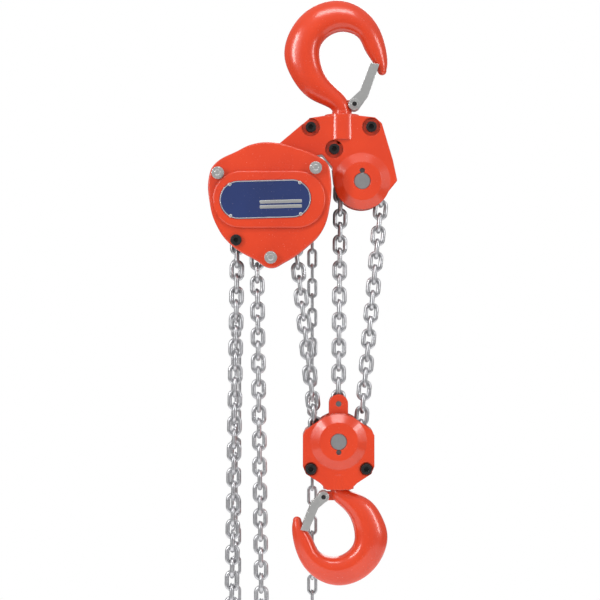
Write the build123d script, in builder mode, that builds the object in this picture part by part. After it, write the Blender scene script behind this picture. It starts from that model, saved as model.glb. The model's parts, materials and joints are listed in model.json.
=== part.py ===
from build123d import *
from math import acos, asin, atan2, cos, dist, pi, radians, sin, sqrt, tan, tau
import os

os.makedirs("parts", exist_ok=True)

# A hand chain hoist with three falls of load chain, in millimetres.
# X runs to the right, Y to the back and Z up. The origin is the saddle of the top hook,
# which lies on the axis that the hoist swivels about. Places (x, z) are in the front view.

# ---- Driving sizes -------------------------------------------------------------------------

# Round-link chains: wire, pitch (inner length) and outer width
load_wire, load_pitch, load_width = 7.1, 21.2, 24.0
hand_wire, hand_pitch, hand_width = 5.0, 25.0, 17.0
link_play = 0.1          # gap left where one link bears on the next
load_links = 135         # odd, so that both ends are face-on links
hand_links = 74          # even, so that the loop closes

# Clearances
seat_fit = 0.03          # between pieces that are fixed to each other
run_fit = 0.06           # radial, between a shaft and what turns on it
side_play = 0.3          # between faces that pass each other
body_gap = 0.4           # between curved faces of different bodies

# Places of the axes
hanger_sheave_at = (32.0, -246.0)
drive_at = (-112.0, -278.0)
gear_centre_distance = 45.0
block_x = -6.0
block_sheave_at = (block_x, -667.5)
ear_pin_at = (block_x, -607.0)
anchor_at = (-170.8, -342.5)
slack_loop_x = -156.0
hand_chain_y = 80.0

# Layers along Y, as distances from the load chain's plane
web_inside, web_outside = 17.0, 24.0
plate_outside = 30.0
cover_inside, cover_outside = 57.0, 61.0

# Hooks
bottom_hook_scale = 0.925
bottom_saddle_z = -857.7
top_neck_radius, bottom_neck_radius = 16.4, 13.2
top_shank_radius, bottom_shank_radius = 12.6, 10.5
top_nut_radius, bottom_nut_radius = 20.0, 17.5

# Chain wheels
idle_reach = 34.5        # radius on which a chain's pivots ride round an idle sheave
load_pockets = 4
hand_pockets = 8

# Hanger, block and shafts
collar_radius = 28.0
sheave_shaft_radius = 13.5
bush_wall = 3.4
chain_pin_radius = 4.5
cap_bolt_radius, cap_head_radius = 5.0, 8.6
stay_radius = 5.0
drive_shaft_radius = 9.0

# Gears: teeth, module and profile shift of the two meshes
first_pinion_teeth, first_wheel_teeth = 8, 48
second_pinion_teeth, second_wheel_teeth = 9, 36
first_shift, second_shift = 0.53, 0.47
tooth_thinning = 0.12
pressure_angle = radians(20)

# Hand wheel cover
wheel_cover_radius, cover_back, cover_wall = 75.8, 104.0, 2.5

FOOT = (Align.CENTER, Align.CENTER, Align.MIN)


# ---- Small helpers -------------------------------------------------------------------------

def polar(centre, radius, angle):
    """The point at an angle (radians, from +X towards +Z) and radius about a centre."""
    return (centre[0] + radius * cos(angle), centre[1] + radius * sin(angle))


def facing(place, depth):
    """A sketch plane square to Y, centred on a place, that extrudes towards the front."""
    return Plane(origin=(place[0], depth, place[1]), x_dir=(1, 0, 0), z_dir=(0, -1, 0))


def rod(place, front, back, radius, mode=Mode.ADD):
    """A round bar along Y in the open part, between two depths."""
    with Locations((place[0], back, place[1])):
        Cylinder(radius, back - front, rotation=(90, 0, 0), align=FOOT, mode=mode)


def prism(place, front, back, radius, sides=6, mode=Mode.ADD):
    """A regular prism along Y in the open part, by the radius of its corners."""
    with BuildSketch(facing(place, back)) as face:
        RegularPolygon(radius, sides)
    extrude(face.sketch, amount=back - front, mode=mode)


def upright(place_xy, low, high, radius, mode=Mode.ADD):
    """A round bar along Z in the open part, between two heights."""
    with Locations((place_xy[0], place_xy[1], low)):
        Cylinder(radius, high - low, align=FOOT, mode=mode)


def slab(points, front, back, rounding, mode=Mode.ADD):
    """A flat piece with a rounded outline in the open part, between two depths."""
    with BuildSketch(facing((0, 0), back)) as face:
        Polygon(*points, align=None)
        fillet(face.vertices(), rounding)
    extrude(face.sketch, amount=back - front, mode=mode)


def save(part, name):
    """Label a finished piece and write it to its own file."""
    part.label = name
    export_step(part, f"parts/{name}.step")


def joined(solids):
    """Several separate solids as one object."""
    return Compound(children=solids)


# ---- Chain routes --------------------------------------------------------------------------
# A route passes round circles (x, z, radius, turn), where turn is 1 for anticlockwise and -1
# for clockwise in the front view. It is a list of pieces (length, function of distance).

def straight_between(first, second):
    """The straight piece that leaves one circle and meets the next, touching both."""
    (x1, z1, r1, turn1), (x2, z2, r2, turn2) = first, second
    span = dist((x1, z1), (x2, z2))
    heading = atan2(z2 - z1, x2 - x1) - asin((turn2 * r2 - turn1 * r1) / span)
    normal = heading + pi / 2
    start = polar((x1, z1), -turn1 * r1, normal)
    end = polar((x2, z2), -turn2 * r2, normal)
    return dist(start, end), lambda s: polar(start, s, heading), heading


def arc_round(circle, heading_in, heading_out):
    """The arc on a circle between the heading at which a chain meets it and leaves it."""
    x, z, radius, turn = circle
    swing = (turn * (heading_out - heading_in)) % tau
    first = heading_in - turn * pi / 2
    return radius * swing, lambda s: polar((x, z), radius, first + turn * s / radius)


def route_round(circles, closed=False):
    """The pieces of the route round the circles, in order."""
    hops = list(zip(circles, circles[1:] + circles[:1] if closed else circles[1:]))
    runs = [straight_between(*hop) for hop in hops]
    pieces = []
    if closed:
        runs = runs[-1:] + runs[:-1]
        for circle, before, after in zip(circles, runs, runs[1:] + runs[:1]):
            pieces.append(arc_round(circle, before[2], after[2]))
            pieces.append(after[:2])
        return pieces
    for circle, before, after in zip(circles[1:-1], runs, runs[1:]):
        pieces.append(before[:2])
        pieces.append(arc_round(circle, before[2], after[2]))
    return pieces + [runs[-1][:2]]


def point_on(pieces, distance):
    """The point of a route at a distance from its start, and the number of its piece."""
    for number, (length, place) in enumerate(pieces):
        if distance <= length or number == len(pieces) - 1:
            return place(distance), number
        distance -= length


def walk(pieces, chords, start=0.0):
    """Distances along a route of points that lie one chord's length after another."""
    marks = [start]
    for chord in chords:
        here = point_on(pieces, marks[-1])[0]
        near, far = marks[-1] + 0.9 * chord, marks[-1] + 1.6 * chord
        for _ in range(40):
            middle = (near + far) / 2
            if dist(here, point_on(pieces, middle)[0]) < chord:
                near = middle
            else:
                far = middle
        marks.append(near)
    return marks


class Chain:
    """A round-link chain whose face-on links lie in one plane, between edge-on ones."""

    def __init__(self, wire, pitch, width):
        self.wire, self.pitch, self.width = wire, pitch, width
        self.crown = (width - wire) / 2
        self.straight = pitch + wire - 2 * self.crown
        self.edge_chord = 2 * pitch - self.straight - 2 * link_play
        self.length = pitch + 2 * wire

    def chords(self, links):
        """Pivot distances of that many links, which start with a face-on one."""
        return [self.straight if n % 2 == 0 else self.edge_chord for n in range(links)]

    def wheel_reach(self, pockets):
        """The radius of the pivots on a wheel with that many pockets for edge-on links."""
        near, far = self.edge_chord / 2, self.edge_chord * pockets
        for _ in range(60):
            radius = (near + far) / 2
            turned = asin(self.straight / 2 / radius) + asin(self.edge_chord / 2 / radius)
            if turned > pi / pockets:
                near = radius
            else:
                far = radius
        return radius

    def edge_radius(self, reach):
        """How far from a wheel's axis the middle of an edge-on link lies."""
        return sqrt(reach**2 - (self.edge_chord / 2) ** 2)

    def face_inner_radius(self, reach):
        """How far from a wheel's axis the nearest side of a face-on link lies."""
        return sqrt(reach**2 - (self.straight / 2) ** 2) - self.width / 2

    def link(self):
        """One link, along X with its loop in the XY plane."""
        with BuildPart() as made:
            half, side = self.straight / 2, self.crown
            with BuildLine():
                Line((-half, -side), (half, -side))
                ThreePointArc((half, -side), (half + side, 0), (half, side))
                Line((half, side), (-half, side))
                ThreePointArc((-half, side), (-half - side, 0), (-half, -side))
            with BuildSketch(Plane((-half, -side, 0), x_dir=(0, 0, 1), z_dir=(1, 0, 0))):
                Circle(self.wire / 2)
            sweep()
        return made.part.solid()

    def laid(self, pieces, marks, depth):
        """(piece number, middle, solid) of each link between two marks on a route."""
        base = self.link()
        found = []
        for n, (mark, following) in enumerate(zip(marks, marks[1:])):
            here, there = point_on(pieces, mark)[0], point_on(pieces, following)[0]
            middle = ((here[0] + there[0]) / 2, (here[1] + there[1]) / 2)
            along = Vector(there[0] - here[0], 0, there[1] - here[1]).normalized()
            up = Vector(0, -1, 0) if n % 2 == 0 else Vector(-along.Z, 0, along.X)
            origin = (middle[0], depth, middle[1])
            place = Plane(origin=origin, x_dir=along, z_dir=up).location
            number = point_on(pieces, (mark + following) / 2)[1]
            found.append((number, middle, base.moved(place)))
        return found


load_chain = Chain(load_wire, load_pitch, load_width)
hand_chain = Chain(hand_wire, hand_pitch, hand_width)
load_reach = load_chain.wheel_reach(load_pockets)
hand_reach = hand_chain.wheel_reach(hand_pockets)


def load_route(drop):
    """The load chain's route, whose slack loop hangs down to a given depth."""
    return route_round([
        (*ear_pin_at, 0, 1),
        (*hanger_sheave_at, idle_reach, -1),
        (*block_sheave_at, idle_reach, -1),
        (*drive_at, load_reach, 1),
        (slack_loop_x, -drop, load_chain.edge_chord * 0.8, -1),
        (*anchor_at, 0, 1),
    ])


def hand_route(drop):
    """The hand chain's closed loop, which hangs from its wheel to a given depth."""
    x, z = drive_at
    return route_round([(x, z, hand_reach, 1), (x, z - drop, hand_reach, 1)], closed=True)


def settled(route, chords, low, high, start=0.0):
    """The depth between two limits at which the links fill a route exactly."""
    for _ in range(40):
        drop = (low + high) / 2
        pieces = route(drop)
        if walk(pieces, chords, start)[-1] - start > sum(piece[0] for piece in pieces):
            low = drop
        else:
            high = drop
    return pieces


load_chords = load_chain.chords(load_links)
load_pieces = settled(load_route, load_chords, 600.0, 1400.0)
load_laid = load_chain.laid(load_pieces, walk(load_pieces, load_chords), 0.0)

hand_chords = hand_chain.chords(hand_links)
hand_pieces = settled(hand_route, hand_chords, 400.0, 1200.0)
hand_laid = hand_chain.laid(hand_pieces, walk(hand_pieces, hand_chords), hand_chain_y)


def pocket_angle(laid, axis):
    """The direction from a wheel's axis of the edge-on link that lies nearest above it."""
    middles = [middle for _, middle, _ in laid[1::2]]
    top = min(middles, key=lambda m: dist(m, polar(axis, hand_reach / 2, pi / 2)))
    return atan2(top[1] - axis[1], top[0] - axis[0])


def chain_pockets(chain, place, depth, reach, pockets, phase, rim):
    """Cut a wheel's pockets for edge-on links and groove for face-on ones, and lower its
    teeth between the flanges, so that the chain leaves it freely."""
    floor = chain.edge_radius(reach) - chain.wire / 2 - side_play
    for pocket in range(pockets):
        angle = phase + tau * pocket / pockets
        x, z = polar(place, floor, angle)
        outward = (cos(angle), 0, sin(angle))
        base = Plane(origin=(x, depth, z), x_dir=(-sin(angle), 0, cos(angle)), z_dir=outward)
        with BuildSketch(base) as bed:
            SlotOverall(chain.length + 4 * side_play, chain.width + 4 * side_play)
        extrude(bed.sketch, amount=rim, mode=Mode.SUBTRACT)
    cuts = [(chain.face_inner_radius(reach) - side_play, chain.wire / 2 + 2 * side_play),
            (reach + 1.0, chain.width / 2 + 2 * side_play)]
    for floor_radius, half in cuts:
        with BuildSketch(facing(place, depth + half)) as ring:
            Circle(rim + side_play)
            Circle(floor_radius, mode=Mode.SUBTRACT)
        extrude(ring.sketch, amount=2 * half, mode=Mode.SUBTRACT)


# ---- Hooks ---------------------------------------------------------------------------------
# Both hooks share one form, drawn about the saddle with the opening to the right and the
# shank below. Stations along it: inner edge, outer edge, thickness, and how round they are.

hook_stations = [
    ((8.0, -110.0), (-25.0, -122.5), 34.0, 0.7),
    ((-8.0, -93.0), (-47.0, -112.5), 36.0, 0.3),
    ((-24.0, -76.0), (-68.0, -95.5), 38.0, 0.0),
    ((-33.0, -57.0), (-86.0, -67.5), 40.0, 0.0),
    ((-36.4, -36.0), (-94.3, -35.0), 42.0, 0.0),
    ((-25.5, -11.0), (-64.5, 28.0), 42.0, 0.0),
    ((1.0, 0.0), (1.0, 50.0), 40.0, 0.0),
    ((27.7, -10.8), (54.4, 16.0), 35.0, 0.0),
    ((39.0, -33.0), (72.0, -29.0), 29.0, 0.2),
    ((50.0, -50.0), (74.3, -48.5), 23.0, 0.4),
    ((58.0, -66.0), (73.0, -62.0), 15.0, 0.8),
]
latch_eye_radius = 10.0
latch_wall = 2.0
latch_inside = 12.2       # half the latch's inner width
latch_lug_half = 8.0
latch_pin_radius = 3.0


class HookPlace:
    """Where a hook stands: its saddle, size, which way up it is, its bowl's offset to one
    side, how far its throat is squeezed towards the neck, its neck and its latch."""

    def __init__(self, x, z, scale, turn, bowl_offset, squeeze, neck_radius, neck, pivot, reach):
        self.x, self.z, self.scale, self.turn = x, z, scale, turn
        self.bowl_offset, self.squeeze = bowl_offset, squeeze
        self.neck_radius = neck_radius
        self.neck_top, self.neck_end = neck
        self.pivot = self.fixed(*pivot)
        self.latch_reach = reach

    def fixed(self, x, z):
        """A point of the shared form, in place."""
        return (self.x + self.turn * self.scale * x, self.z + self.turn * self.scale * z)

    def at(self, x, z):
        """A point of the forging, whose bowl may stand to one side of the neck."""
        bowl_share = min(1.0, max(0.0, (z - neck_level) / (throat_level - neck_level)))
        lowered = throat_level + (z - throat_level) * self.squeeze if z < throat_level else z
        return self.fixed(x + self.bowl_offset * bowl_share, lowered)


neck_level, throat_level = -134.0, -76.0
block_bottom_z = -746.0
hook_seat_wall = 6.0      # thickness of the block's floor, which the lower hook turns in
hanger_shoulder = -149.0  # the upper hook's thrust ring and nut hang below it
bottom_neck = [(bottom_saddle_z - z) / bottom_hook_scale
               for z in (block_bottom_z - 1.5, block_bottom_z + hook_seat_wall)]
top_place = HookPlace(0.0, 0.0, 1.0, 1, 0.0, 1.0, top_neck_radius,
                      (-131.0, hanger_shoulder), (19.9, -119.6), 1.0)
bottom_place = HookPlace(block_x, bottom_saddle_z, bottom_hook_scale, -1, 7.5, 0.85,
                         bottom_neck_radius, bottom_neck, (26.4, -107.2), 0.9)


def hook_section(inner, outer, thickness, roundness):
    """Draw a hook's section in the open sketch: an egg whose broad end is the inner side."""
    width = dist(inner, outer)
    egg = {0: 0.0, 36: 0.335, 72: 0.5, 108: 0.42, 144: 0.225, 180: 0.0}
    points = []
    for turn in range(0, 360, 36):
        share = egg[min(turn, 360 - turn)]
        half = roundness * sin(radians(min(turn, 360 - turn))) / 2 + (1 - roundness) * share
        side = 1 if turn < 180 else -1
        points.append(((1 - cos(radians(turn))) / 2 * width - width / 2, side * half * thickness))
    with BuildLine() as edge:
        Spline(*points, periodic=True)
    make_face(edge.line)


def hook(place, shank_radius, shank_end):
    """A forged hook with its shank, which ends at a given height, and a latch lug."""
    neck = (place.neck_radius - body_gap) / place.scale
    start = place.neck_top - 1.5
    ends = [(place.fixed(neck, start), place.fixed(-neck, start), 2 * neck, 1.0)]
    ends += [(place.at(*inner), place.at(*outer), *rest) for inner, outer, *rest in hook_stations]
    with BuildPart() as forging:
        for near, far, thickness, roundness in ends:
            across = Vector(far[0] - near[0], 0, far[1] - near[1])
            middle = ((near[0] + far[0]) / 2, 0, (near[1] + far[1]) / 2)
            along = across.cross(Vector(0, 1, 0))
            with BuildSketch(Plane(origin=middle, x_dir=across, z_dir=along)):
                hook_section(near, far, thickness * place.scale, roundness)
        loft()
        tip = place.at(65.5, -64.0)
        with Locations((tip[0], 0, tip[1])):
            Sphere(7.4 * place.scale)
        neck_top, neck_end = place.fixed(0, place.neck_top)[1], place.fixed(0, place.neck_end)[1]
        upright((place.x, 0), *sorted((neck_top, neck_end)), place.neck_radius)
        upright((place.x, 0), *sorted((neck_end, shank_end)), shank_radius)
        pivot = place.pivot
        lug = latch_lug_half * place.scale
        rod(pivot, -lug, lug, (latch_eye_radius - 1.0) * place.scale)
        root = place.fixed(4.0, place.neck_top + 10.0)
        with Locations(((pivot[0] + root[0]) / 2, 0, (pivot[1] + root[1]) / 2)):
            Box(dist(pivot, root), 2 * lug, 15.0 * place.scale)
        rod(pivot, -lug, lug, latch_pin_radius + seat_fit, mode=Mode.SUBTRACT)
    return forging.part


def hook_latch(place):
    """A pressed latch: two cheeks round the hook's lug and a back that closes the throat."""
    k, pivot = place.scale, place.pivot
    half = latch_inside * k + latch_wall

    def local(x, z):
        reach = place.turn * k * place.latch_reach
        return (pivot[0] + place.turn * k * x, pivot[1] + reach * z)

    side = [(-7.0, 7.0), (9.0, 22.0), (26.5, 67.0), (40.5, 64.5), (23.0, 15.0), (7.0, -7.0)]
    hollow = [(9.0 + 2 * latch_wall, 21.0), (26.5 + latch_wall, 69.0), (60.0, 80.0), (60.0, -30.0)]
    hollow += [(-30.0, -30.0), (-30.0, 12.0), (2.0, 16.0)]
    with BuildPart() as pressing:
        with BuildSketch(facing((0, 0), half)) as cheek:
            Polygon(*[local(*point) for point in side], align=None)
            with Locations(pivot):
                Circle(latch_eye_radius * k)
        extrude(cheek.sketch, amount=2 * half)
        with BuildSketch(facing((0, 0), half - latch_wall)) as inside:
            Polygon(*[local(*point) for point in hollow], align=None)
        extrude(inside.sketch, amount=2 * (half - latch_wall), mode=Mode.SUBTRACT)
        rod(pivot, -half, half, latch_pin_radius + run_fit, mode=Mode.SUBTRACT)
    return pressing.part


def latch_pin(place):
    """The latch's rivet, with a head at each end."""
    pivot = place.pivot
    half = latch_inside * place.scale + latch_wall
    head = 2.2
    with BuildPart() as rivet:
        rod(pivot, -half - side_play - head, half + side_play + head, latch_pin_radius)
        rod(pivot, -half - side_play - head, -half - side_play, 5.2)
        rod(pivot, half + side_play, half + side_play + head, 5.2)
    return rivet.part


def latch_spring(place):
    """A torsion spring's two coils, beside the lug, as rings round the latch's pin."""
    pivot = place.pivot
    inner, outer = latch_lug_half * place.scale, latch_inside * place.scale
    coils = []
    for side in (-1, 1):
        front, back = sorted((side * (inner + side_play), side * (outer - side_play)))
        with BuildPart() as coil:
            rod(pivot, front, back, latch_pin_radius + 2.6)
            rod(pivot, front, back, latch_pin_radius + 0.4, mode=Mode.SUBTRACT)
        coils.append(coil.part.solid())
    return joined(coils)


def hook_nut(x, low, high, radius, bore):
    """A round nut on a hook's shank, with four slots for a spanner."""
    with BuildPart() as nut:
        upright((x, 0), low, high, radius)
        chamfer(nut.edges().filter_by(GeomType.CIRCLE), 1.2)
        upright((x, 0), low, high, bore + seat_fit, mode=Mode.SUBTRACT)
        with Locations((x, 0, (low + high) / 2)):
            with PolarLocations(radius, 4, start_angle=45):
                Box(5.0, 6.0, high - low, mode=Mode.SUBTRACT)
    return nut.part


def thrust_ring(x, low, high, radius, bore):
    """A hardened ring between a hook's nut and the shoulder that it turns on."""
    with BuildPart() as ring:
        upright((x, 0), low, high, radius)
        upright((x, 0), low, high, bore + body_gap, mode=Mode.SUBTRACT)
    return ring.part


# ---- Hanger --------------------------------------------------------------------------------

hanger_outline = [
    (-27, -139.5), (-53, -143.5), (-104, -186.5), (-158, -190), (-158, -221), (-64, -223),
    (-48, -206.5), (-33, -202), (-17, -222), (-14, -250), (32, -262), (74, -263.5),
    (89, -245), (82, -212), (64, -152), (53, -142.5), (27, -139.5),
]
hanger_bolts_at = [(-51.0, -158.5), (46.9, -157.7), (-13.2, -193.8)]
suspension_at = [(-84.0, -206.0), (-138.0, -206.0)]
suspension_radius = 8.0
sheave_room = 52.0        # radius kept free for the chain round an idle sheave
boss_radius, boss_face_radius, boss_rise = 45.8, 31.0, 9.0
pad_radius, pad_depth = 14.5, 5.0
lock_pin_offset, lock_pin_radius = 17.0, 4.2
collar_top, collar_bottom = -136.5, -178.0
top_ring_height, top_nut_height = 6.0, 17.0


def shaft_boss(place, outside, notch_side):
    """A domed boss for a sheave's shaft on the front shell, bored for the shaft and its pin."""
    with Locations((place[0], -outside, place[1])):
        Cone(boss_radius, boss_face_radius, boss_rise, rotation=(90, 0, 0), align=FOOT)
    rod(place, -outside - boss_rise, 0, sheave_shaft_radius + seat_fit, mode=Mode.SUBTRACT)
    pin_at = (place[0], place[1] + notch_side * lock_pin_offset)
    rod(pin_at, -outside - boss_rise, -web_inside, lock_pin_radius, mode=Mode.SUBTRACT)


with BuildPart() as hanger_half:
    slab(hanger_outline, -web_outside, 0, 4.0)
    rod(hanger_sheave_at, -web_outside, 0, boss_radius)
    upright((0, 0), collar_bottom, collar_top, collar_radius)
    with Locations((0, collar_radius, (collar_top + collar_bottom) / 2)):
        Box(4 * collar_radius, 2 * collar_radius, 60, mode=Mode.SUBTRACT)
    # room for the sheave, for the two strands that leave it, and for the hook's nut
    rod(hanger_sheave_at, -web_inside, 0, sheave_room, mode=Mode.SUBTRACT)
    strand_room = idle_reach + load_width / 2 + 3.0
    with Locations((hanger_sheave_at[0], -web_inside, hanger_sheave_at[1])):
        Box(2 * strand_room, web_inside, 60, align=(Align.CENTER, Align.MIN, Align.MAX),
            mode=Mode.SUBTRACT)
    upright((0, 0), -185.0, hanger_shoulder, top_nut_radius + body_gap, mode=Mode.SUBTRACT)
    upright((0, 0), hanger_shoulder, collar_top, top_neck_radius + run_fit, mode=Mode.SUBTRACT)
    for bolt_at in hanger_bolts_at:
        rod(bolt_at, -web_outside - 6, -web_outside + pad_depth, pad_radius, mode=Mode.SUBTRACT)
        rod(bolt_at, -web_outside, 0, cap_bolt_radius + seat_fit, mode=Mode.SUBTRACT)
    for pin_at in suspension_at:
        rod(pin_at, -web_outside, 0, suspension_radius + seat_fit, mode=Mode.SUBTRACT)
    shaft_boss(hanger_sheave_at, web_outside, 1)

with BuildPart() as hanger_front_shell:
    add(hanger_half.part)
save(hanger_front_shell.part, "hanger_front_shell")

with BuildPart() as hanger_rear_shell:
    mirror(hanger_half.part, about=Plane.XZ)
save(hanger_rear_shell.part, "hanger_rear_shell")


def cap_bolt(place, seat, end):
    """A socket-head bolt whose head rests at the front seat, with its thread at the back."""
    with BuildPart() as bolt:
        rod(place, seat, end, cap_bolt_radius)
        rod(place, seat - 2 * cap_bolt_radius, seat, cap_head_radius)
        chamfer(bolt.faces().sort_by(Axis.Y)[0].edges(), 0.8)
        prism(place, seat - 2 * cap_bolt_radius, seat - cap_bolt_radius, 4.9, mode=Mode.SUBTRACT)
    return bolt.part.solid()


def hex_nut(place, front, back, across_corners, bore):
    """A hexagon nut between two depths."""
    with BuildPart() as nut:
        prism(place, front, back, across_corners / 2)
        rod(place, front, back, bore + seat_fit, mode=Mode.SUBTRACT)
    return nut.part.solid()


pad_face = web_outside - pad_depth
bolt_nut_height = 8.0
nut_corners = 18.5        # across a nut's corners


def bolts_with_nuts(places):
    """A cap bolt and its nut at each place, seated in the pads of two shells."""
    nut_end = pad_face + bolt_nut_height
    bolts = [cap_bolt(at, -pad_face, nut_end + 2.0) for at in places]
    return bolts + [hex_nut(at, pad_face, nut_end, nut_corners, cap_bolt_radius) for at in places]


save(joined(bolts_with_nuts(hanger_bolts_at)), "hanger_bolts")

ring_play = 0.1
top_ring_low = hanger_shoulder - top_ring_height
top_nut_high = top_ring_low - side_play
top_nut_low = top_nut_high - top_nut_height
save(thrust_ring(0, top_ring_low, hanger_shoulder - ring_play, top_nut_radius, top_shank_radius),
     "hanger_thrust_ring")
save(hook_nut(0, top_nut_low, top_nut_high, top_nut_radius, top_shank_radius), "top_hook_nut")
save(hook(top_place, top_shank_radius, top_nut_low - 2.0), "top_hook")
save(hook_latch(top_place), "top_latch")
save(latch_pin(top_place), "top_latch_pin")
save(latch_spring(top_place), "top_latch_spring")


# ---- Idle sheaves --------------------------------------------------------------------------

sheave_half_width = web_inside - 1.0
rim_radius = load_chain.edge_radius(idle_reach) - load_wire / 2 - side_play
groove_radius = load_chain.face_inner_radius(idle_reach) - side_play
flange_radius = 41.0


def idle_sheave(place):
    """A plain sheave: rims that carry edge-on links, a groove for face-on ones, flanges."""
    with BuildPart() as sheave:
        rod(place, -sheave_half_width, sheave_half_width, flange_radius)
        for depth, floor in ((load_width / 2 + 1.0, rim_radius), (load_wire / 2 + 0.9, groove_radius)):
            with BuildSketch(facing(place, depth)) as ring:
                Circle(flange_radius + 1)
                Circle(floor, mode=Mode.SUBTRACT)
            extrude(ring.sketch, amount=2 * depth, mode=Mode.SUBTRACT)
        rod(place, -sheave_half_width, sheave_half_width, sheave_shaft_radius + bush_wall + seat_fit,
            mode=Mode.SUBTRACT)
    return sheave.part


def sheave_bush(place):
    """The bronze bush pressed into an idle sheave."""
    with BuildPart() as bush:
        rod(place, -sheave_half_width, sheave_half_width, sheave_shaft_radius + bush_wall)
        rod(place, -sheave_half_width, sheave_half_width, sheave_shaft_radius + run_fit,
            mode=Mode.SUBTRACT)
    return bush.part


def sheave_shaft(place, half, notch_side):
    """A sheave's fixed shaft, with a notch at each end for the pin that locks it."""
    with BuildPart() as shaft:
        rod(place, -half, half, sheave_shaft_radius)
        chamfer(shaft.edges().filter_by(GeomType.CIRCLE), 0.8)
        pin_at = (place[0], place[1] + notch_side * lock_pin_offset)
        for front, back in ((-half, -web_inside - 1), (web_inside + 1, half)):
            rod(pin_at, front, back, lock_pin_radius + seat_fit, mode=Mode.SUBTRACT)
    return shaft.part


def shaft_lock_pins(place, half, notch_side):
    """The two pins that keep a sheave's shaft from turning and sliding."""
    pin_at = (place[0], place[1] + notch_side * lock_pin_offset)
    pins = []
    for front, back in ((-half + 3.0, -web_inside - 1), (web_inside + 1, half - 3.0)):
        with BuildPart() as pin:
            rod(pin_at, front, back, lock_pin_radius - seat_fit)
        pins.append(pin.part.solid())
    return joined(pins)


hanger_half_depth = web_outside + boss_rise - 1.5
save(idle_sheave(hanger_sheave_at), "top_sheave")
save(sheave_bush(hanger_sheave_at), "top_sheave_bush")
save(sheave_shaft(hanger_sheave_at, hanger_half_depth, 1), "top_sheave_shaft")
save(shaft_lock_pins(hanger_sheave_at, hanger_half_depth, 1), "top_shaft_lock_pins")
save(idle_sheave(block_sheave_at), "bottom_sheave")
save(sheave_bush(block_sheave_at), "bottom_sheave_bush")
save(sheave_shaft(block_sheave_at, hanger_half_depth, -1), "bottom_sheave_shaft")
save(shaft_lock_pins(block_sheave_at, hanger_half_depth, -1), "bottom_shaft_lock_pins")


# ---- Bottom block --------------------------------------------------------------------------

block_outline = [
    (-54, -649), (-23, -627.5), (23, -627.5), (54, -649), (58, -658), (58, -708),
    (53, -720), (30, -735), (19, block_bottom_z), (-19, block_bottom_z), (-30, -735),
    (-53, -720), (-58, -708), (-58, -658),
]
block_outline = [(block_x + x, z) for x, z in block_outline]
block_bolts_at = [(block_x - 45.0, -712.0), (block_x + 45.0, -712.0)]
block_room = 51.0
ear_radius = 15.5
ear_slot = load_wire / 2 + 1.2
block_collar_radius = 23.0
block_shoulder = block_bottom_z + hook_seat_wall
block_ring_height, block_nut_height = 4.0, 14.0

with BuildPart() as block_half:
    slab(block_outline, -web_outside, 0, 3.0)
    upright((block_x, 0), block_bottom_z, -722.0, block_collar_radius + 2.0)
    with Locations((block_x, collar_radius, -720.0)):
        Box(4 * collar_radius, 2 * collar_radius, 200, mode=Mode.SUBTRACT)
    # room for the sheave and for the two strands that come to it, beside the ear
    rod(block_sheave_at, -web_inside, 0, block_room, mode=Mode.SUBTRACT)
    with Locations((block_x, -web_inside, block_sheave_at[1])):
        Box(2 * (idle_reach + load_width / 2 + 3.0), web_inside, 60,
            align=(Align.CENTER, Align.MIN, Align.MIN), mode=Mode.SUBTRACT)
    # the ear that holds the end of the chain
    with BuildSketch(facing((0, 0), 0)) as ear:
        with Locations(ear_pin_at):
            Circle(ear_radius)
            Rectangle(2 * ear_radius, 24.0, align=(Align.CENTER, Align.MAX))
    extrude(ear.sketch, amount=web_inside + 1)
    with Locations((ear_pin_at[0], -ear_slot, ear_pin_at[1])):
        Box(2 * load_width, ear_slot, 2 * ear_radius + 2.0,
            align=(Align.CENTER, Align.MIN, Align.CENTER), mode=Mode.SUBTRACT)
    edge_link_low = ear_pin_at[1] + load_wire / 2 + chain_pin_radius - 0.6
    with Locations((ear_pin_at[0], 0, edge_link_low)):
        Box(2 * load_width, load_width + 1.4, load_width,
            align=(Align.CENTER, Align.CENTER, Align.MIN), mode=Mode.SUBTRACT)
    rod(block_sheave_at, -web_inside, 0, flange_radius + 1.5, mode=Mode.SUBTRACT)
    rod(ear_pin_at, -web_outside, 0, chain_pin_radius + seat_fit, mode=Mode.SUBTRACT)
    # the lower hook's nut and neck
    upright((block_x, 0), block_shoulder, -700.0, bottom_nut_radius + body_gap, mode=Mode.SUBTRACT)
    upright((block_x, 0), block_bottom_z, block_shoulder, bottom_neck_radius + run_fit,
            mode=Mode.SUBTRACT)
    for bolt_at in block_bolts_at:
        rod(bolt_at, -web_outside - 6, -web_outside + pad_depth, 10.5, mode=Mode.SUBTRACT)
        rod(bolt_at, -web_outside, 0, cap_bolt_radius + seat_fit, mode=Mode.SUBTRACT)
    shaft_boss(block_sheave_at, web_outside, -1)

with BuildPart() as block_front_shell:
    add(block_half.part)
save(block_front_shell.part, "block_front_shell")

with BuildPart() as block_rear_shell:
    mirror(block_half.part, about=Plane.XZ)
save(block_rear_shell.part, "block_rear_shell")

save(joined(bolts_with_nuts(block_bolts_at)), "block_bolts")

block_ring_high = block_shoulder + block_ring_height
block_nut_low = block_ring_high + side_play
block_nut_high = block_nut_low + block_nut_height
save(thrust_ring(block_x, block_shoulder + ring_play, block_ring_high, bottom_nut_radius, bottom_shank_radius),
     "block_thrust_ring")
save(hook_nut(block_x, block_nut_low, block_nut_high, bottom_nut_radius, bottom_shank_radius),
     "bottom_hook_nut")
save(hook(bottom_place, bottom_shank_radius, block_nut_high + 1.0), "bottom_hook")
save(hook_latch(bottom_place), "bottom_latch")
save(latch_pin(bottom_place), "bottom_latch_pin")
save(latch_spring(bottom_place), "bottom_latch_spring")

with BuildPart() as chain_end_pin:
    rod(ear_pin_at, -web_inside - 0.8, web_inside + 0.8, chain_pin_radius)
save(chain_end_pin.part, "chain_end_pin")


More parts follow.
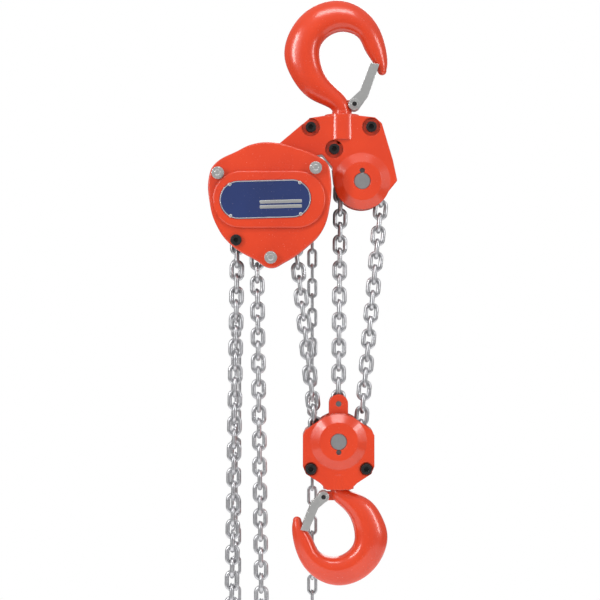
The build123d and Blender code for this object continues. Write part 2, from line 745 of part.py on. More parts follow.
# ---- Body: side plates, stays and covers ---------------------------------------------------

body_outline = [
    (-129, -186), (-100, -187), (-45, -206), (-22, -221), (-20, -290), (-34, -329),
    (-56, -351), (-92, -377), (-117, -388), (-140, -374), (-182, -348), (-200, -320),
    (-212, -288), (-214, -234), (-208, -222), (-168, -198),
]
plate_inset, cover_wall_thickness = 3.5, 6.5
stays_at = [(-200.0, -235.0), (-43.5, -227.0), (-115.4, -370.3)]
stay_shoulder_radius = 8.0
nut_height, washer_height, flange_height = 8.0, 2.0, 3.0
bearing_radius, journal_radius = 25.0, 18.0
gear_shaft_radius, gear_bush_wall = 8.0, 2.5
pilot_radius, pilot_depth = 5.0, 5.0
first_gears_at = [(drive_at[0] + side * gear_centre_distance, drive_at[1]) for side in (-1, 1)]
guide_at, guide_tenon_radius = (-112.0, -335.0), 4.0
oval_at = (-118.0, -278.0)
oval_length, oval_height, oval_rise = 181.0, 92.0, 5.0
nameplate_at, nameplate_tilt = (-124.0, -277.5), 1.5
nameplate_length, nameplate_height, nameplate_thickness = 146.0, 61.0, 1.0
rivet_radius, rivet_head_radius = 1.6, 2.8
ratchet_teeth, ratchet_radius, ratchet_depth = 18, 42.0, 5.0
pawl_reach, pawl_pin_radius, pawl_angles = 56.0, 4.0, (radians(62), radians(182))
pawls_at = [polar(drive_at, pawl_reach, angle) for angle in pawl_angles]


def inset(points, by):
    """The corners of an outline inside a clockwise one, by a distance from each side."""
    corners = []
    for before, here, after in zip(points[-1:] + points[:-1], points, points[1:] + points[:1]):
        heading = atan2(here[1] - before[1], here[0] - before[0])
        turn = (atan2(after[1] - here[1], after[0] - here[0]) - heading + pi) % tau - pi
        corners.append(polar(here, by / cos(turn / 2), heading + turn / 2 - pi / 2))
    return corners


plate_outline = inset(body_outline, plate_inset)
cover_hollow = inset(body_outline, cover_wall_thickness)


def side_plate(front, back):
    """A flat side plate, bored for the load sheave's bearing, the stays and the pins."""
    with BuildPart() as plate:
        slab(plate_outline, front, back, 4.0)
        rod(drive_at, front, back, bearing_radius + seat_fit, mode=Mode.SUBTRACT)
        holes = [(at, stay_radius) for at in stays_at]
        holes += [(at, suspension_radius) for at in suspension_at]
        holes += [(anchor_at, chain_pin_radius), (guide_at, guide_tenon_radius)]
        for at, radius in holes:
            rod(at, front, back, radius + seat_fit, mode=Mode.SUBTRACT)
    return plate.part


with BuildPart() as gear_side_plate:
    add(side_plate(-plate_outside, -web_outside))
    for at in first_gears_at:
        rod(at, -plate_outside, -web_outside, gear_shaft_radius + gear_bush_wall + seat_fit,
            mode=Mode.SUBTRACT)
save(gear_side_plate.part, "gear_side_plate")

with BuildPart() as wheel_side_plate:
    add(side_plate(web_outside, plate_outside))
    for at in pawls_at:
        rod(at, web_outside, plate_outside, pawl_pin_radius + seat_fit, mode=Mode.SUBTRACT)
save(wheel_side_plate.part, "wheel_side_plate")


def rings(places, inner, outer):
    """Plain rings along Y, one at each (place, front, back)."""
    made = []
    for place, front, back in places:
        with BuildPart() as ring:
            rod(place, front, back, outer)
            rod(place, front, back, inner, mode=Mode.SUBTRACT)
        made.append(ring.part.solid())
    return joined(made)


both_sides = [(-plate_outside, -web_outside), (web_outside, plate_outside)]
save(rings([(drive_at, *side) for side in both_sides], journal_radius + run_fit, bearing_radius),
     "load_sheave_bearings")
bush_places = [(at, -plate_outside, -web_outside) for at in first_gears_at]
bush_places += [(at, -cover_inside - pilot_depth, -cover_inside) for at in first_gears_at]
save(rings(bush_places, gear_shaft_radius + run_fit, gear_shaft_radius + gear_bush_wall),
     "gear_bushes")


def nameplate_holes():
    """The four places of the nameplate's rivets."""
    spots = [(x, z) for x in (-1, 1) for z in (-1, 1)]
    turn = radians(nameplate_tilt)
    found = []
    for side, level in spots:
        x, z = side * (nameplate_length / 2 - 17.0), level * (nameplate_height / 2 - 5.5)
        found.append((nameplate_at[0] + x * cos(turn) - z * sin(turn),
                      nameplate_at[1] + x * sin(turn) + z * cos(turn)))
    return found


# the front cover: a deep lid with a raised oval on which the nameplate lies
oval_face = cover_outside + oval_rise
with BuildPart() as gear_cover:
    slab(body_outline, -cover_outside, -plate_outside, 6.0)
    fillet(gear_cover.faces().sort_by(Axis.Y)[0].edges(), 4.0)
    with BuildSketch(facing(oval_at, -cover_outside)) as oval:
        SlotOverall(oval_length, oval_height)
    extrude(oval.sketch, amount=oval_rise, taper=35)
    slab(cover_hollow, -cover_inside, -plate_outside, 3.0, mode=Mode.SUBTRACT)
    for at, radius in [(at, stay_radius) for at in stays_at] + [(anchor_at, chain_pin_radius)]:
        rod(at, -cover_inside, -plate_outside, radius + 5.0)
        rod(at, -cover_outside, -plate_outside, radius + seat_fit, mode=Mode.SUBTRACT)
    for at in first_gears_at:
        rod(at, -cover_inside - pilot_depth, -cover_inside,
            gear_shaft_radius + gear_bush_wall + seat_fit, mode=Mode.SUBTRACT)
    rod(drive_at, -cover_inside - pilot_depth, -cover_inside, pilot_radius + run_fit,
        mode=Mode.SUBTRACT)
    for at in nameplate_holes():
        rod(at, -oval_face, -oval_face + 3.5, rivet_radius + seat_fit, mode=Mode.SUBTRACT)
save(gear_cover.part, "gear_cover")

with BuildPart() as nameplate:
    turn = radians(nameplate_tilt)
    tilted = Plane(origin=(nameplate_at[0], -oval_face, nameplate_at[1]),
                   x_dir=(cos(turn), 0, sin(turn)), z_dir=(0, -1, 0))
    with BuildSketch(tilted) as plate_face:
        SlotOverall(nameplate_length, nameplate_height)
    extrude(plate_face.sketch, amount=nameplate_thickness)
    for at in nameplate_holes():
        rod(at, -oval_face - nameplate_thickness, -oval_face, rivet_radius + seat_fit,
            mode=Mode.SUBTRACT)
save(nameplate.part, "nameplate")

rivets = []
for at in nameplate_holes():
    with BuildPart() as rivet:
        head_seat = -oval_face - nameplate_thickness
        rod(at, head_seat, -oval_face + 3.0, rivet_radius)
        rod(at, head_seat - 1.4, head_seat, rivet_head_radius)
        fillet(rivet.faces().sort_by(Axis.Y)[0].edges(), 1.0)
    rivets.append(rivet.part.solid())
save(joined(rivets), "nameplate_rivets")

stays = []
for at in stays_at:
    with BuildPart() as stay:
        rod(at, -cover_outside - washer_height - nut_height - 1.5,
            plate_outside + flange_height + nut_height + 1.5, stay_radius)
        rod(at, -web_outside, web_outside, stay_shoulder_radius)
        chamfer(stay.faces().sort_by(Axis.Y)[0].edges(), 1.0)
    stays.append(stay.part.solid())
save(joined(stays), "stay_bolts")

washer_face = cover_outside + washer_height
flange_back = plate_outside + flange_height
washers = rings([(at, -washer_face, -cover_outside) for at in stays_at], stay_radius + seat_fit, 10.0)
stay_nuts = [hex_nut(at, front, front + nut_height, nut_corners, stay_radius)
             for at in stays_at for front in (-washer_face - nut_height, flange_back)]
save(joined([*washers.solids(), *stay_nuts]), "stay_nuts")

pins = []
for at in suspension_at:
    with BuildPart() as pin:
        rod(at, -plate_outside, plate_outside, suspension_radius)
    pins.append(pin.part.solid())
save(joined(pins), "suspension_pins")

with BuildPart() as chain_anchor_pin:
    rod(anchor_at, -cover_outside, plate_outside, chain_pin_radius)
    rod(anchor_at, -cover_outside - 6.0, -cover_outside, 9.0)
    fillet(chain_anchor_pin.faces().sort_by(Axis.Y)[0].edges(), 1.5)
    prism(anchor_at, -cover_outside - 6.0, -cover_outside - 1.5, 4.6, mode=Mode.SUBTRACT)
save(chain_anchor_pin.part, "chain_anchor_pin")

# below the load sheave: a guide between the two strands, and a stripper in the sheave's groove
sheave_flange_radius = 38.0
load_groove_bottom = load_chain.face_inner_radius(load_reach) - side_play
with BuildPart() as chain_guide:
    with Locations((guide_at[0], 0, guide_at[1])):
        Box(22.0, 2 * web_outside - 0.4, 30.0)
    rod(drive_at, -web_outside, web_outside, sheave_flange_radius + 1.5, mode=Mode.SUBTRACT)
    with Locations((guide_at[0], 0, guide_at[1] + 18.0)):
        Box(10.0 + 2 * seat_fit, 6.0 + 2 * seat_fit, 24.0, mode=Mode.SUBTRACT)
    rod(guide_at, -plate_outside, plate_outside, guide_tenon_radius)

with BuildPart() as chain_stripper:
    with Locations((guide_at[0], 0, guide_at[1] + 6.0)):
        Box(10.0, 6.0, 50.0, align=(Align.CENTER, Align.CENTER, Align.MIN))
    rod(drive_at, -web_outside, web_outside, load_groove_bottom + 1.0, mode=Mode.SUBTRACT)
save(joined([chain_guide.part.solid(), chain_stripper.part.solid()]), "chain_guide_and_stripper")


# ---- Load sheave and gears -----------------------------------------------------------------

sheave_half = 16.0
load_gear_front, load_gear_back = -42.0, -32.0
first_gear_front, first_gear_back = -54.0, -44.2
gear_seat_radius, ring_height = 13.0, 1.4
load_phase = pocket_angle(load_laid, drive_at)

with BuildPart() as load_sheave:
    rod(drive_at, -sheave_half, sheave_half, sheave_flange_radius)
    chain_pockets(load_chain, drive_at, 0.0, load_reach, load_pockets, load_phase,
                  sheave_flange_radius)
    rod(drive_at, -plate_outside - 1.0, -sheave_half, journal_radius)
    rod(drive_at, sheave_half, plate_outside + 0.5, journal_radius)
    rod(drive_at, load_gear_front - ring_height - side_play, -plate_outside - 1.0,
        gear_seat_radius)
    rod(drive_at, -plate_outside - 20.0, plate_outside + 1.0, drive_shaft_radius + run_fit,
        mode=Mode.SUBTRACT)
save(load_sheave.part, "load_sheave")


def involute(angle):
    return tan(angle) - angle


def gear_outline(teeth, module, shift, tip_radius, phase):
    """One spur gear's outline, as a face about the origin with a tooth at the phase angle."""
    pitch_radius = module * teeth / 2
    base = pitch_radius * cos(pressure_angle)
    root = module * (teeth / 2 - 1.25 + shift)
    half_at_pitch = (pi / 2 + 2 * shift * tan(pressure_angle)) / teeth
    half_at_pitch -= tooth_thinning / 2 / pitch_radius

    def half(radius):
        here = acos(min(1.0, base / radius))
        return half_at_pitch + involute(pressure_angle) - involute(here)

    start = max(root, base)
    flank = [start + (tip_radius - start) * n / 4 for n in range(5)]
    with BuildSketch(Plane.XY) as gear:
        with BuildLine() as edge:
            for tooth in range(teeth):
                middle = phase + tau * tooth / teeth
                following = middle + tau / teeth
                rise = [polar((0, 0), r, middle - half(r)) for r in flank]
                fall = [polar((0, 0), r, middle + half(r)) for r in flank[::-1]]
                foot = polar((0, 0), root, middle - half(start))
                heel = polar((0, 0), root, middle + half(start))
                if dist(foot, rise[0]) > 1e-6:
                    Line(foot, rise[0])
                    Line(fall[-1], heel)
                Spline(*rise)
                ThreePointArc(rise[-1], polar((0, 0), tip_radius, middle), fall[0])
                Spline(*fall)
                low = polar((0, 0), root, (middle + following) / 2)
                ThreePointArc(heel, low, polar((0, 0), root, following - half(start)))
        make_face(edge.line)
    return gear.sketch


def gear_at(place, front, back, outline):
    """Add a gear's outline, extruded between two depths, to the open part."""
    here = facing(place, back)
    extrude(here.location * outline, amount=back - front, dir=(0, -1, 0))


def meshing_phase(phase, teeth, other_teeth, direction):
    """The phase of a gear that meshes with another, which lies in a direction from it."""
    share = teeth * (direction - phase) / tau
    return direction + pi - tau / other_teeth * (0.5 - share)


first_module = 2 * gear_centre_distance / (first_pinion_teeth + first_wheel_teeth)
second_module = 2 * gear_centre_distance / (second_pinion_teeth + second_wheel_teeth)
first_pinion_tip = 5.3 * first_module
first_wheel_tip = first_module * (first_wheel_teeth / 2 + 1 - first_shift)
second_pinion_tip = 5.8 * second_module
second_wheel_tip = second_module * (second_wheel_teeth / 2 + 1 - second_shift)

with BuildPart() as load_gear:
    gear_at(drive_at, load_gear_front, load_gear_back,
            gear_outline(second_wheel_teeth, second_module, -second_shift, second_wheel_tip, 0.0))
    rod(drive_at, load_gear_front, load_gear_back, gear_seat_radius + seat_fit,
        mode=Mode.SUBTRACT)
save(load_gear.part, "load_gear")

save(rings([(drive_at, load_gear_front - ring_height, load_gear_front)],
           gear_seat_radius + seat_fit, gear_seat_radius + 3.5), "load_gear_ring")

for at, side, name in zip(first_gears_at, (pi, 0.0), ("left", "right")):
    wheel_phase = meshing_phase(0.0, first_pinion_teeth, first_wheel_teeth, side)
    pinion_phase = meshing_phase(0.0, second_wheel_teeth, second_pinion_teeth, side)
    with BuildPart() as gear_pair:
        gear_at(at, first_gear_front, first_gear_back,
                gear_outline(first_wheel_teeth, first_module, -first_shift, first_wheel_tip,
                             wheel_phase))
        gear_at(at, first_gear_back, load_gear_back,
                gear_outline(second_pinion_teeth, second_module, second_shift,
                             second_pinion_tip, pinion_phase))
        rod(at, -cover_inside - pilot_depth + 0.5, first_gear_front, gear_shaft_radius)
        rod(at, load_gear_back, -web_outside - 0.5, gear_shaft_radius)
    save(gear_pair.part, f"intermediate_gear_{name}")


# ---- Drive shaft, brake and hand wheel -----------------------------------------------------

disc_front, disc_back = plate_outside + 1.0, plate_outside + 7.0
friction_thickness, ratchet_thickness = 2.8, 8.0
brake_gap = 0.15
first_friction = disc_back + brake_gap
ratchet_front = first_friction + friction_thickness + brake_gap
ratchet_back = ratchet_front + ratchet_thickness
second_friction = ratchet_back + brake_gap
wheel_face = second_friction + friction_thickness + brake_gap
brake_radius, brake_hub_radius = 35.0, 13.0
wheel_rim_half, wheel_rim_radius = 12.0, 71.0
wheel_hub_back = hand_chain_y + wheel_rim_half
shaft_end = cover_back - cover_wall - 1.5

with BuildPart() as drive_shaft:
    rod(drive_at, first_gear_back + 0.6, shaft_end, drive_shaft_radius)
    gear_at(drive_at, first_gear_front, first_gear_back + 0.6,
            gear_outline(first_pinion_teeth, first_module, first_shift, first_pinion_tip, 0.0))
    rod(drive_at, -cover_inside - pilot_depth + 0.5, first_gear_front, pilot_radius)
save(drive_shaft.part, "drive_shaft")

with BuildPart() as disc_hub:
    rod(drive_at, disc_front, disc_back, brake_radius)
    rod(drive_at, disc_back, wheel_face - 0.3, brake_hub_radius)
    rod(drive_at, disc_front, wheel_face, drive_shaft_radius + seat_fit, mode=Mode.SUBTRACT)
save(disc_hub.part, "disc_hub")

save(rings([(drive_at, at, at + friction_thickness) for at in (first_friction, second_friction)],
           brake_hub_radius + seat_fit, brake_radius), "friction_plates")

with BuildPart() as ratchet_wheel:
    with BuildSketch(facing(drive_at, ratchet_back)) as saw:
        with BuildLine() as saw_edge:
            points = []
            for tooth in range(ratchet_teeth):
                angle = tau * tooth / ratchet_teeth
                points.append(polar((0, 0), ratchet_radius - ratchet_depth, angle))
                points.append(polar((0, 0), ratchet_radius, angle))
                points.append(polar((0, 0), ratchet_radius - 0.8, angle + 0.3 * tau / ratchet_teeth))
            Polyline(*points, close=True)
        make_face()
    extrude(saw.sketch, amount=ratchet_thickness)
    rod(drive_at, ratchet_front, ratchet_back, brake_hub_radius + run_fit, mode=Mode.SUBTRACT)
save(ratchet_wheel.part, "ratchet_wheel")

# two pawls, half a turn's share apart, whose noses stand behind a tooth of the ratchet
pawl_swing = radians(38)
pawl_eye_radius = 8.0


def pawl(angle):
    """A pawl whose eye lies at an angle about the drive axis."""
    face = angle + pawl_swing
    corners = [
        (ratchet_radius - ratchet_depth + 1.0, face - radians(0.7)),
        (ratchet_radius - ratchet_depth + 2.8, face - radians(5)),
        (ratchet_radius + 2.5, face - radians(12)),
        (pawl_reach - pawl_eye_radius + 0.5, angle + radians(5)),
        (pawl_reach - pawl_eye_radius + 1.0, angle),
        (pawl_reach + pawl_eye_radius - 1.0, angle),
        (pawl_reach + pawl_eye_radius - 3.0, angle + radians(12)),
        (ratchet_radius + 5.5, face - radians(1)),
    ]
    eye = polar(drive_at, pawl_reach, angle)
    with BuildPart() as lever:
        with BuildSketch(facing((0, 0), ratchet_back)) as side:
            Polygon(*[polar(drive_at, *corner) for corner in corners], align=None)
            with Locations(eye):
                Circle(pawl_eye_radius)
        extrude(side.sketch, amount=ratchet_thickness)
        rod(eye, ratchet_front, ratchet_back, pawl_pin_radius + run_fit, mode=Mode.SUBTRACT)
    return lever.part


save(pawl(pawl_angles[0]), "pawl_right")
save(pawl(pawl_angles[1]), "pawl_left")

spring_height = 3.0
pin_parts = []
for at in pawls_at:
    with BuildPart() as pawl_pin:
        head = ratchet_back + spring_height + 3 * side_play
        rod(at, web_outside, head + 2.0, pawl_pin_radius)
        rod(at, plate_outside, ratchet_front - side_play, pawl_eye_radius - 1.5)
        rod(at, head, head + 2.0, pawl_eye_radius - 1.5)
    with BuildPart() as pawl_spring:
        rod(at, ratchet_back + side_play, ratchet_back + side_play + spring_height,
            pawl_pin_radius + 2.2)
        rod(at, ratchet_back, head, pawl_pin_radius + body_gap, mode=Mode.SUBTRACT)
    pin_parts += [pawl_pin.part.solid(), pawl_spring.part.solid()]
save(joined(pin_parts), "pawl_pins_and_springs")

hub_radius, rim_inner_radius = 20.0, 50.0
with BuildPart() as hand_wheel:
    rod(drive_at, wheel_face, wheel_face + 7.0, brake_radius)
    rod(drive_at, wheel_face, wheel_hub_back, hub_radius)
    rod(drive_at, hand_chain_y - 4.0, hand_chain_y + 4.0, rim_inner_radius + 1.0)
    with BuildSketch(facing(drive_at, wheel_hub_back)) as rim:
        Circle(wheel_rim_radius)
        Circle(rim_inner_radius, mode=Mode.SUBTRACT)
    extrude(rim.sketch, amount=2 * wheel_rim_half)
    chain_pockets(hand_chain, drive_at, hand_chain_y, hand_reach, hand_pockets,
                  pocket_angle(hand_laid, drive_at), wheel_rim_radius)
    rod(drive_at, wheel_face, wheel_hub_back, drive_shaft_radius + seat_fit, mode=Mode.SUBTRACT)
    for quarter in range(4):
        rod(polar(drive_at, (hub_radius + rim_inner_radius) / 2, pi / 4 + quarter * pi / 2),
            hand_chain_y - 4.0, hand_chain_y + 4.0, 9.0, mode=Mode.SUBTRACT)
save(hand_wheel.part, "hand_wheel")

save(hex_nut(drive_at, wheel_hub_back, shaft_end - 1.0, 27.0, drive_shaft_radius),
     "hand_wheel_nut")

with BuildPart() as hand_wheel_cover:
    slab(plate_outline, plate_outside, flange_back, 4.0)
    rod(drive_at, plate_outside, cover_back, wheel_cover_radius)
    fillet(hand_wheel_cover.faces().sort_by(Axis.Y)[-1].edges(), 6.0)
    rod(drive_at, plate_outside, cover_back - cover_wall, wheel_cover_radius - cover_wall,
        mode=Mode.SUBTRACT)
    chain_room = hand_reach + hand_width / 2 + 3.0
    with Locations((drive_at[0], hand_chain_y, drive_at[1])):
        Box(2 * chain_room, 2 * wheel_rim_half + 4.0, 2 * wheel_cover_radius,
            align=(Align.CENTER, Align.CENTER, Align.MAX), mode=Mode.SUBTRACT)
    for at in stays_at:
        rod(at, plate_outside, flange_back, stay_radius + seat_fit, mode=Mode.SUBTRACT)
save(hand_wheel_cover.part, "hand_wheel_cover")


# ---- Chains --------------------------------------------------------------------------------

def links_on(laid, numbers):
    """The links that lie on some of a route's pieces, as one object."""
    return joined([solid for number, _, solid in laid if number in numbers])


save(links_on(load_laid, {0}), "load_chain_dead_fall")
save(links_on(load_laid, {2}), "load_chain_middle_fall")
save(links_on(load_laid, {4}), "load_chain_driven_fall")
save(links_on(load_laid, {3}), "load_chain_block_turn")
save(links_on(load_laid, {1, 5, 6, 7, 8}), "load_chain_upper")
save(joined([solid for _, _, solid in hand_laid]), "hand_chain")
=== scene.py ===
# %% [markdown]
# # A hand chain hoist, finished in Blender
#
# The hoist's pieces come ready made, as one fixed frame in metres: +Z is up, +X runs to the right
# in the front view and +Y to the back. What is left to do here is how it looks. Each piece gets
# its finish, and the gear cover is modelled again with a smooth outline. The falls of chain are
# copied onto the frame, the latches get eyes and rivets, and the nameplate gets its trim. A small
# studio is then set up round it all.

# %% Load the frame and measure it
import bpy
import json
from math import pi, radians, sin
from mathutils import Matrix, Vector


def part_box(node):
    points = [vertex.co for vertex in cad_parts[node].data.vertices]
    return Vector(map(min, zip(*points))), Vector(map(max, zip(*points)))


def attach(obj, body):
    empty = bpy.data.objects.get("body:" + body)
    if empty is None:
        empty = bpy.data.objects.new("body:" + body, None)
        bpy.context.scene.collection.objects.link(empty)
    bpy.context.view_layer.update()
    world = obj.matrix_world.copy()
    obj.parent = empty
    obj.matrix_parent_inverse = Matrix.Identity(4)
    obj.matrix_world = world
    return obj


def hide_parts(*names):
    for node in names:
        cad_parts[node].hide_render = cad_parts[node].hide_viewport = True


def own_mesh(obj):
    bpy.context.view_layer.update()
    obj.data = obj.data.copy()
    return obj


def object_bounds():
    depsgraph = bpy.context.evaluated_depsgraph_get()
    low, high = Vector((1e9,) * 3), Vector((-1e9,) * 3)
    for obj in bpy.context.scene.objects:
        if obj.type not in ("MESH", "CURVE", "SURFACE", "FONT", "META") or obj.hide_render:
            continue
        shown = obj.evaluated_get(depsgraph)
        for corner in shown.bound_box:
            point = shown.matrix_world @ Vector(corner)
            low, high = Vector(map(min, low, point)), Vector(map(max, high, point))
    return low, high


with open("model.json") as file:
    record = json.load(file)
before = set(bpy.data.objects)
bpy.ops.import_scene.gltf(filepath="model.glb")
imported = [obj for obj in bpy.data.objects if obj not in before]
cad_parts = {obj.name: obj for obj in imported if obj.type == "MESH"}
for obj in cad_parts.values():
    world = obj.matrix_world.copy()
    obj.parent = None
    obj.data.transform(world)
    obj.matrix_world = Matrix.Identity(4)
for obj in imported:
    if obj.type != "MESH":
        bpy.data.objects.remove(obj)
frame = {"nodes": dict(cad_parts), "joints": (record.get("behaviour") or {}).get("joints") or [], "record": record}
nodes = frame["nodes"]
cad_low, cad_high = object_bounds()
millimetre = 0.001

# %% [markdown]
# ## Shader sums written as plain arithmetic
#
# A finish is a small network of nodes. Wired by hand, even `1 - mask` takes four lines. Here a
# `Wire` stands for one output of a node and knows +, - and *, so that a sum adds its own Math
# nodes, and a `Finish` has one method that adds any other node.

# %% Wires and finishes
class Wire:
    """One output of a node in a finish, for use in sums."""

    def __init__(self, finish, socket):
        self.finish, self.socket = finish, socket

    def sum_with(self, operation, first, second):
        return self.finish.node("Math", {"operation": operation}, {0: first, 1: second})

    def __add__(self, other):
        return self.sum_with("ADD", self, other)

    def __sub__(self, other):
        return self.sum_with("SUBTRACT", self, other)

    def __rsub__(self, other):
        return self.sum_with("SUBTRACT", other, self)

    def __mul__(self, other):
        return self.sum_with("MULTIPLY", self, other)

    __radd__, __rmul__ = __add__, __mul__


class Finish:
    """A material whose nodes are added one at a time."""

    def __init__(self, name):
        self.material = bpy.data.materials.new(name)
        self.material.use_nodes = True
        self.tree = self.material.node_tree
        self.tree.nodes.clear()

    def node(self, kind, settings=(), sockets=(), stops=(), output=0):
        """Adds a node: its settings first, then its ramp's stops and its sockets."""
        made = self.tree.nodes.new("ShaderNode" + kind)
        for name, value in dict(settings).items():
            setattr(made, name, value)
        for index, (position, shade) in enumerate(stops):
            elements = made.color_ramp.elements
            stop = elements[index] if index < len(elements) else elements.new(position)
            stop.position, stop.color = position, (shade, shade, shade, 1)
        for name, value in dict(sockets).items():
            if isinstance(value, Wire):
                self.tree.links.new(value.socket, made.inputs[name])
            else:
                made.inputs[name].default_value = value
        return Wire(self, made.outputs[output])

    def place(self):
        """Where a point lies on the object, in metres."""
        return self.node("TexCoord", output="Object")

    def cloud(self, scale, detail=3.0):
        """Soft noise from 0 to 1. Scale is in blobs per metre."""
        sockets = {"Vector": self.place(), "Scale": scale, "Detail": detail}
        return self.node("TexNoise", {}, sockets)

    def ramp(self, value, *stops):
        return self.node("ValToRGB", {}, {"Fac": value}, stops)

    def blend(self, share, first, second):
        """A colour between two, by a share from 0 to 1."""
        settings = {"data_type": "RGBA"}
        return self.node("Mix", settings, {0: share, 6: first, 7: second}, output=2)

    def edges(self, width):
        """1 along sharp edges within a width in metres, and 0 on plain faces."""
        rounded = self.node("Bevel", {"samples": 6}, {"Radius": width})
        flat = self.node("NewGeometry", output="Normal")
        alike = self.node("VectorMath", {"operation": "DOT_PRODUCT"},
                          {0: rounded, 1: flat}, output="Value")
        return self.ramp(1 - alike, (0.02, 0.0), (0.22, 1.0))

    def relief(self, height, strength, depth, rounding=0.0):
        """A bumped normal. Rounding softens the sharp edges under it, in metres."""
        sockets = {"Height": height, "Strength": strength, "Distance": depth}
        if rounding:
            sockets["Normal"] = self.node("Bevel", {"samples": 6}, {"Radius": rounding})
        return self.node("Bump", {}, sockets)

    def surface(self, **looks):
        """The shader itself. Its sockets are given with _ for a space in their names."""
        sockets = {name.replace("_", " "): value for name, value in looks.items()}
        shader = self.node("BsdfPrincipled", {}, sockets)
        self.node_out(shader)
        return self.material

    def node_out(self, shader):
        out = self.tree.nodes.new("ShaderNodeOutputMaterial")
        self.tree.links.new(shader.socket, out.inputs["Surface"])


print("shader sums ready")

# %% [markdown]
# ## Orange powder coat
#
# The castings are sprayed and baked. Such a coat is glossy but never mirror flat: it has a slight
# orange peel, pools a little darker in places, and thins along sharp edges. The peel is fine
# noise in the bump, and the thin edges come from comparing the true normal with a rounded one.

# %% The painted castings
def powder_coat(name, bright, deep):
    coat = Finish(name)
    pools = coat.ramp(coat.cloud(14), (0.35, 0.0), (0.7, 1.0))
    dust = coat.ramp(coat.cloud(420, 6), (0.66, 0.0), (0.74, 1.0))
    thin = coat.edges(1.1 * millimetre)
    colour = coat.blend(pools * 0.45, bright, deep)
    worn = coat.blend(thin * 0.35, colour, [min(1, 1.25 * c + 0.03) for c in bright[:3]] + [1])
    dusty = coat.blend(dust * 0.12, worn, (0.75, 0.55, 0.45, 1))
    gloss = 0.2 + pools * 0.08 + dust * 0.15
    peel = coat.cloud(650, 2) + coat.cloud(90, 2) * 1.5
    bumps = coat.relief(peel, 0.16, 0.25 * millimetre, rounding=2.6 * millimetre)
    return coat.surface(Base_Color=dusty, Roughness=gloss, Normal=bumps,
                        Coat_Weight=0.22, Coat_Roughness=0.06)


orange_paint = powder_coat("orange_paint", (0.66, 0.048, 0.011, 1), (0.52, 0.028, 0.007, 1))
navy_plate = powder_coat("navy_plate", (0.016, 0.032, 0.13, 1), (0.010, 0.020, 0.08, 1))
print("painted:", orange_paint.name, navy_plate.name)

# %% [markdown]
# ## Bare and plated metals
#
# The metals differ in their tint, in how blurred their shine is, and in how much grime and wear
# they carry, so one recipe takes those as its values. Handling polishes the edges bright.

# %% The metals
def metal(name, tint, blur, grime, mottling=60, grain=900):
    plate = Finish(name)
    patches = plate.ramp(plate.cloud(mottling, 4), (0.3, 0.0), (0.75, 1.0))
    scratches = plate.cloud(grain, 5)
    polished = plate.edges(0.6 * millimetre)
    dull = [c * (1 - grime) for c in tint] + [1]
    shiny = [min(1, c * 1.12 + 0.02) for c in tint] + [1]
    colour = plate.blend(patches, list(tint) + [1], dull)
    colour = plate.blend(polished * 0.6, colour, shiny)
    shine = blur + patches * 0.14 + scratches * 0.08 - polished * 0.08
    marks = plate.relief(scratches, 0.12, 0.1 * millimetre, rounding=0.5 * millimetre)
    return plate.surface(Base_Color=colour, Metallic=1.0, Roughness=shine, Normal=marks)


chain_steel = metal("chain_steel", (0.58, 0.58, 0.60), 0.22, 0.35, mottling=140)
zinc_steel = metal("zinc_steel", (0.74, 0.74, 0.73), 0.24, 0.22)
machined_steel = metal("machined_steel", (0.52, 0.52, 0.53), 0.28, 0.30)
hardened_steel = metal("hardened_steel", (0.24, 0.24, 0.25), 0.38, 0.45)
bronze = metal("bronze", (0.62, 0.40, 0.17), 0.30, 0.35)
print("metals:", chain_steel.name, zinc_steel.name, machined_steel.name)

# %% [markdown]
# ## Black oxide and brake lining
#
# The bolts' black is a thin skin that a key rubs through at the edges. The brake lining is
# pressed from fibres, so it is matt and speckled.

# %% Black oxide
def black_oxide(name):
    skin = Finish(name)
    patches = skin.cloud(160, 4)
    rubbed = skin.edges(0.5 * millimetre)
    colour = skin.blend(patches, (0.012, 0.012, 0.013, 1), (0.035, 0.034, 0.034, 1))
    colour = skin.blend(rubbed * 0.5, colour, (0.16, 0.16, 0.165, 1))
    marks = skin.relief(skin.cloud(1100, 3), 0.15, 0.1 * millimetre, rounding=0.4 * millimetre)
    return skin.surface(Base_Color=colour, Metallic=0.6, Roughness=0.34 + patches * 0.18, Normal=marks)


black_bolt = black_oxide("black_bolt")
print("black:", black_bolt.name)

# %% Brake lining
def pressed_lining(name):
    lining = Finish(name)
    fibres = lining.ramp(lining.cloud(900, 6), (0.45, 0.0), (0.65, 1.0))
    colour = lining.blend(fibres, (0.07, 0.055, 0.042, 1), (0.22, 0.18, 0.14, 1))
    rough = lining.relief(fibres, 0.4, 0.2 * millimetre)
    return lining.surface(Base_Color=colour, Roughness=0.75 + fibres * 0.15, Normal=rough)


friction_lining = pressed_lining("friction_lining")
print("lining:", friction_lining.name)

# %% [markdown]
# ## Each piece takes its finish
#
# The record says which finish every piece is made in, so the pieces are dressed by that list.

# %% Dress the pieces
finishes = {
    "orange_paint": orange_paint, "navy_plate": navy_plate, "chain_steel": chain_steel,
    "zinc_steel": zinc_steel, "machined_steel": machined_steel, "hardened_steel": hardened_steel,
    "bronze": bronze, "black_bolt": black_bolt, "friction_lining": friction_lining}
for piece in frame["record"]["subparts"]:
    dressed = nodes[piece["node"]]
    dressed.data.materials.clear()
    dressed.data.materials.append(finishes[piece["material_slot"]])

# %% [markdown]
# ## The gear cover
#
# The cover is one pressing: a shield with sweeping sides, and on it a soft oval pad that carries
# the nameplate. A smooth closed curve draws the shield. It is filled, pulled back into a cup,
# given a wall and a rounded rim, and the pad is a rounded plate with a deep soft edge. The places
# come from the frame's own cover, which this one stands for.

# %% Tools for modelled pieces
def only(made):
    """Selects one object and makes it the active one."""
    bpy.ops.object.select_all(action="DESELECT")
    made.select_set(True)
    bpy.context.view_layer.objects.active = made


